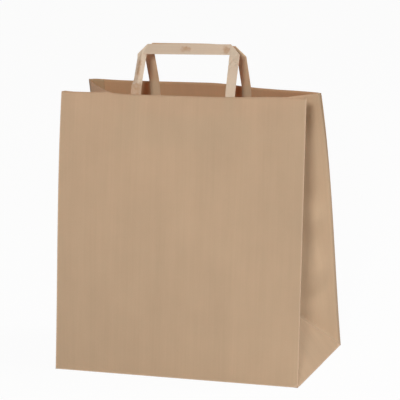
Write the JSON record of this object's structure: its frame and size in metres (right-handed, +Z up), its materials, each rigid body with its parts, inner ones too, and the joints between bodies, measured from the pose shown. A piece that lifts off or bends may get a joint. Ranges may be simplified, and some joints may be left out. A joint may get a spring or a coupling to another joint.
{
  "type": "paper carrier bag",
  "caption": "Upright kraft paper carrier bag with a block bottom, pushed-in side gussets, and two folded flat tape handles glued inside the rim.",
  "frame": {"origin": "centre of the base rectangle, on the floor", "axes": "+X across the front panel towards its right edge as seen from the front, -Y out of the front panel, +Z up"},
  "size_m": [0.32, 0.2, 0.4113],
  "materials": {
    "kraft": "unbleached brown kraft, machine-ribbed, matt",
    "handle_tape": "folded kraft tape, slightly lighter, matt"
  },
  "bodies": {
    "root": {"bag_body": "kraft", "front_handle": "handle_tape", "rear_handle": "handle_tape", "front_patch": "kraft", "rear_patch": "kraft"}
  },
  "joints": []
}
